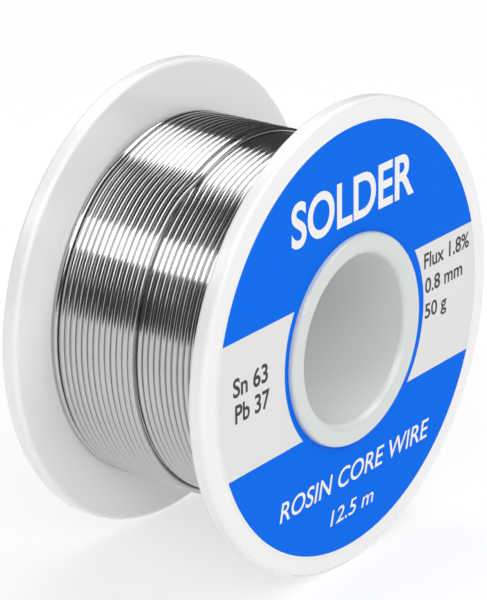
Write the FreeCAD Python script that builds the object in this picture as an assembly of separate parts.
"""Spool of flux-cored solder wire, in millimetres.

The spool stands on its rims: its axis is Y, its labelled face looks along -Y, and +Z is up.
The origin is on the axis, halfway between the two flanges.

It comes apart into two plastic mouldings, a round label and one long wire. Each moulding is
a flange, half of the drum that carries the wire and half of the sleeve round the spindle
bore. A tongue on the front moulding enters the back one, and three pins press into bosses.
"""

import os
from math import cos, hypot, pi, radians, sin, sqrt, tan

import FreeCAD
import Part
from FreeCAD import Vector

# ---- driving dimensions: the spool ----
FLANGE_RADIUS = 27.5
FLANGE_THICKNESS = 2.1
RIM_ROUNDING = 0.55
INNER_WIDTH = 23.8  # between the two flanges
DRUM_RADIUS = 18.7
DRUM_WALL = 1.6
BORE_RADIUS = 9.85
SLEEVE_WALL = 2.45
LIP_HEIGHT = 0.85  # how far the sleeve stands proud of a flange
LIP_OUTER_ROUNDING = 0.45
LIP_INNER_ROUNDING = 1.0

# ---- driving dimensions: what joins and stiffens the two mouldings ----
TONGUE_LENGTH = 2.0
FIT_GAP = 0.05  # each side of a tongue
RIB_COUNT = 6
RIB_THICKNESS = 1.2
PIN_COUNT = 3
PIN_RADIUS = 1.0
PIN_LENGTH = 3.0
BOSS_WALL = 1.1
END_GAP = 0.2  # past the end of a pin, tongue or rib

# ---- driving dimensions: the label ----
LABEL_MARGIN = 2.3  # plain flange outside the label
LABEL_THICKNESS = 0.1
LABEL_HOLE_GAP = 0.05  # between the label and the lip

# ---- driving dimensions: the wire and how it is wound ----
WIRE_RADIUS = 0.4
PITCH_GAP = 0.015  # between neighbouring turns
FULL_LAYERS = 3
TOP_TURNS = 14  # turns of the last layer, which stops short of the front flange
VALLEY_ANGLE = 70.0  # how far round each turn its outline is followed, in degrees
ANCHOR_HOLE_GAP = 0.1  # round the wire where it passes through the drum wall
ANCHOR_ANGLE = 30.0  # where the wire starts, in degrees from the top towards +X
ANCHOR_RUN = 6.0  # length of the bent start inside the drum
TAIL_LEAVES = -50.0  # where the free end leaves the last turn, degrees from the top towards +X
TAIL_JOG = 12.0  # how far round it takes to move over one turn
TAIL_ENDS = 66.0  # where it is cut off

# ---- sizes that follow ----
PART_PLANE = 0.0  # where the two mouldings meet
INNER_FACE = INNER_WIDTH / 2
OUTER_FACE = INNER_FACE + FLANGE_THICKNESS
LIP_FACE = OUTER_FACE + LIP_HEIGHT
SLEEVE_RADIUS = BORE_RADIUS + SLEEVE_WALL
DRUM_INNER = DRUM_RADIUS - DRUM_WALL
BOSS_RADIUS = min(PIN_RADIUS + BOSS_WALL, (DRUM_INNER - SLEEVE_RADIUS) / 2 - END_GAP)
BOSS_PLACE = (DRUM_INNER + SLEEVE_RADIUS) / 2
PITCH = 2 * WIRE_RADIUS + PITCH_GAP
LAYER_RISE = sqrt((2 * WIRE_RADIUS) ** 2 - (PITCH / 2) ** 2)
WIDE_TURNS = int((INNER_WIDTH - 2 * WIRE_RADIUS) / PITCH) + 1
LABEL_RADIUS = FLANGE_RADIUS - LABEL_MARGIN
LABEL_HOLE = SLEEVE_RADIUS + LABEL_HOLE_GAP

AXIS = Vector(0, 1, 0)
ORIGIN = Vector(0, 0, 0)


def at(radius, y, degrees):
    """A point at this radius, degrees round from the top towards +X."""
    a = radians(degrees)
    return Vector(radius * sin(a), y, radius * cos(a))


def revolved(points):
    """A solid turned about the spool's axis from corners given as (radius, y)."""
    corners = [Vector(r, y, 0) for r, y in points]
    face = Part.Face(Part.makePolygon(corners + corners[:1]))
    return face.revolve(ORIGIN, AXIS, 360)


def ring(inner, outer, low, high):
    return revolved([(inner, low), (outer, low), (outer, high), (inner, high)])


def line(start, end):
    return Part.LineSegment(start, end).toShape()


def rounded(shape, radius, y, rounding):
    """Rounds the circular edges of this radius at this place along the axis."""
    edges = [
        e for e in shape.Edges
        if hasattr(e.Curve, "Radius") and abs(e.Curve.Radius - radius) < 1e-6
        and abs(e.BoundBox.YMin - y) < 1e-6 and abs(e.BoundBox.YMax - y) < 1e-6
    ]
    return shape.makeFillet(rounding, edges)


def layer_radius(layer):
    """Radius of the wire's centreline in a layer; the layer on the drum is 0."""
    return DRUM_RADIUS + WIRE_RADIUS + layer * LAYER_RISE


def layer_turns(layer):
    """Where the turns of a layer lie along the axis, back flange first."""
    wide = layer % 2 == 0
    count = WIDE_TURNS if wide else WIDE_TURNS - 1
    first = (count - 1) * PITCH / 2
    return [first - i * PITCH for i in range(count)]


# ---- the two mouldings, each drawn on the +Y side and turned into place ----
def half_body():
    """Flange, half drum, half sleeve with its lip, and the ribs between drum and sleeve."""
    flange = ring(BORE_RADIUS, FLANGE_RADIUS, INNER_FACE, OUTER_FACE)
    flange = rounded(flange, FLANGE_RADIUS, OUTER_FACE, RIM_ROUNDING)
    flange = rounded(flange, FLANGE_RADIUS, INNER_FACE, RIM_ROUNDING)
    sleeve = ring(BORE_RADIUS, SLEEVE_RADIUS, PART_PLANE, LIP_FACE)
    sleeve = rounded(sleeve, SLEEVE_RADIUS, LIP_FACE, LIP_OUTER_ROUNDING)
    sleeve = rounded(sleeve, BORE_RADIUS, LIP_FACE, LIP_INNER_ROUNDING)
    drum = ring(DRUM_INNER, DRUM_RADIUS, PART_PLANE, OUTER_FACE - FLANGE_THICKNESS / 2)
    body = flange.fuse([sleeve, drum] + ribs())
    return body.removeSplitter()


def ribs():
    """Flat ribs from sleeve to drum, kept clear of the other moulding's tongues."""
    inner = SLEEVE_RADIUS - SLEEVE_WALL / 4
    outer = DRUM_INNER + DRUM_WALL / 4
    low = PART_PLANE + TONGUE_LENGTH + END_GAP
    made = []
    for i in range(RIB_COUNT):
        corner = Vector(-RIB_THICKNESS / 2, low, inner)
        rib = Part.makeBox(RIB_THICKNESS, INNER_FACE + FIT_GAP - low, outer - inner, corner)
        rib.rotate(ORIGIN, AXIS, i * 360 / RIB_COUNT)
        made.append(rib)
    return made


def boss_centres():
    """The middles of the bosses, on every second rib, at the parting plane."""
    return [at(BOSS_PLACE, PART_PLANE, i * 360 / PIN_COUNT) for i in range(PIN_COUNT)]


def with_bosses(body):
    posts = [Part.makeCylinder(BOSS_RADIUS, INNER_FACE + FIT_GAP, c, AXIS) for c in boss_centres()]
    return body.fuse(posts).removeSplitter()


def front_moulding():
    """The moulding with the tongues and the pins, turned to the labelled side."""
    body = with_bosses(half_body())
    drum_middle = DRUM_RADIUS - DRUM_WALL / 2
    sleeve_middle = SLEEVE_RADIUS - SLEEVE_WALL / 2
    tip = PART_PLANE - TONGUE_LENGTH
    drum_tongue = ring(DRUM_INNER, drum_middle - FIT_GAP, tip, PART_PLANE)
    sleeve_tongue = ring(sleeve_middle + FIT_GAP, SLEEVE_RADIUS, tip, PART_PLANE)
    pins = [
        Part.makeCylinder(PIN_RADIUS, PIN_LENGTH, c - Vector(0, PIN_LENGTH, 0), AXIS)
        for c in boss_centres()
    ]
    body = body.fuse([drum_tongue, sleeve_tongue] + pins).removeSplitter()
    body.rotate(ORIGIN, Vector(0, 0, 1), 180)
    return body.cut(anchor_hole())


def back_moulding():
    """The moulding with the matching rebates and sockets."""
    body = with_bosses(half_body())
    drum_middle = DRUM_RADIUS - DRUM_WALL / 2
    sleeve_middle = SLEEVE_RADIUS - SLEEVE_WALL / 2
    depth = PART_PLANE + TONGUE_LENGTH + END_GAP
    drum_rebate = ring(DRUM_INNER - FIT_GAP, drum_middle, PART_PLANE, depth)
    sleeve_rebate = ring(sleeve_middle, SLEEVE_RADIUS + FIT_GAP, PART_PLANE, depth)
    turned = [Vector(-c.x, c.y, c.z) for c in boss_centres()]
    sockets = [Part.makeCylinder(PIN_RADIUS, PIN_LENGTH + END_GAP, c, AXIS) for c in turned]
    return body.cut(Part.makeCompound([drum_rebate, sleeve_rebate] + sockets))


# ---- the wire ----
def anchor_place():
    """Where the wire passes through the drum wall: beside the front flange."""
    return -INNER_FACE + WIRE_RADIUS + 2 * ANCHOR_HOLE_GAP


def anchor_hole():
    start = at(DRUM_INNER - DRUM_WALL, anchor_place(), ANCHOR_ANGLE)
    outward = at(1, 0, ANCHOR_ANGLE)
    return Part.makeCylinder(WIRE_RADIUS + ANCHOR_HOLE_GAP, 3 * DRUM_WALL, start, outward)


def crest(radius, y, low, high):
    """The outline of one turn, from angle low to angle high either side of its crest."""
    points = []
    for degrees in (low, (low + high) / 2, high):
        a = radians(degrees)
        points.append(Vector(radius + WIRE_RADIUS * cos(a), y - WIRE_RADIUS * sin(a), 0))
    return Part.Arc(*points).toShape()


def winding():
    """All the turns of the wire as one closed solid with a fluted outside."""
    top = FULL_LAYERS
    under = FULL_LAYERS - 1
    top_radius = layer_radius(top)
    under_radius = layer_radius(under)
    top_turns = layer_turns(top)[:TOP_TURNS]
    under_turns = layer_turns(under)
    shown = [y for y in under_turns if y < top_turns[-1]]
    v = VALLEY_ANGLE
    crests = [crest(under_radius, under_turns[0], -v, 0)]
    crests += [crest(top_radius, y, -v, v) for y in top_turns]
    crests += [crest(under_radius, shown[0], 0, v)]
    crests += [crest(under_radius, y, -v, v) for y in shown[1:]]
    edges = []
    for i, arc in enumerate(crests):
        if i:
            edges.append(line(edges[-1].lastVertex().Point, arc.firstVertex().Point))
        edges.append(arc)
    start = crests[0].firstVertex().Point
    end = crests[-1].lastVertex().Point
    inner_start = Vector(DRUM_RADIUS, start.y, 0)
    inner_end = Vector(DRUM_RADIUS, end.y, 0)
    for a, b in ((end, inner_end), (inner_end, inner_start), (inner_start, start)):
        edges.append(line(a, b))
    return Part.Face(Part.Wire(edges)).revolve(ORIGIN, AXIS, 360)


def tube(path):
    """A round wire along a path of tangent runs and arcs."""
    first = path.Edges[0]
    begin = first.valueAt(first.FirstParameter)
    along = first.tangentAt(first.FirstParameter)
    section = Part.Wire(Part.makeCircle(WIRE_RADIUS, begin, along))
    return path.makePipeShell([section], True, False)


def wire_start(coil):
    """The anchored end: through the drum wall, then bent along the inside of the drum."""
    y = anchor_place()
    outside = at(DRUM_RADIUS, y, ANCHOR_ANGLE)
    corner = at(SLEEVE_RADIUS + 2 * WIRE_RADIUS + END_GAP, y, ANCHOR_ANGLE)
    end = corner + Vector(0, ANCHOR_RUN, 0)
    reach = (corner - outside).Length
    inward = (corner - outside) / reach
    radius = min(0.45 * min(ANCHOR_RUN, reach) / tan(radians(45)), reach - DRUM_WALL)
    before = corner - inward * radius
    after = corner + Vector(0, radius, 0)
    middle = corner + (Vector(0, 1, 0) - inward) * radius * (1 - sqrt(0.5))
    print("bend of the anchored end: radius %.2f" % radius)
    path = Part.Wire([
        line(outside, before),
        Part.Arc(before, middle, after).toShape(),
        line(after, end),
    ])
    return tube(path).cut(coil)


def wire_end(coil):
    """The free end: it leaves the last turn, lies one turn further on and is cut off."""
    radius = layer_radius(FULL_LAYERS)
    last = layer_turns(FULL_LAYERS)[TOP_TURNS - 1]
    leave = at(radius, last, TAIL_LEAVES)
    join = at(radius, last - PITCH, TAIL_LEAVES + TAIL_JOG)
    jog = Part.makeCylinder(WIRE_RADIUS, (join - leave).Length, leave, join - leave)
    knee = Part.makeSphere(WIRE_RADIUS, join)
    along = AXIS.cross(join)
    section = Part.Face(Part.Wire(Part.makeCircle(WIRE_RADIUS, join, along)))
    lying = section.revolve(ORIGIN, AXIS, TAIL_ENDS - TAIL_LEAVES - TAIL_JOG)
    return lying.fuse([jog, knee]).cut(coil)


def front_label():
    return ring(LABEL_HOLE, LABEL_RADIUS, -OUTER_FACE - LABEL_THICKNESS, -OUTER_FACE)


def save(name, shape):
    solids = shape.Solids
    print("%-14s solids %d  valid %s  volume %.1f mm3" % (name, len(solids), shape.isValid(), shape.Volume))
    shape.exportStep("parts/%s.step" % name)


os.makedirs("parts", exist_ok=True)
coil = winding()
save("front_moulding", front_moulding())
save("back_moulding", back_moulding())
save("front_label", front_label())
save("solder_winding", coil)
save("solder_start", wire_start(coil))
save("solder_end", wire_end(coil))
turns = [len(layer_turns(i)) for i in range(FULL_LAYERS)] + [TOP_TURNS]
length = sum(n * hypot(2 * pi * layer_radius(i), PITCH) for i, n in enumerate(turns))
print("turns", turns, "wire length %.0f mm, outside radius %.2f" % (length, layer_radius(FULL_LAYERS) + WIRE_RADIUS))
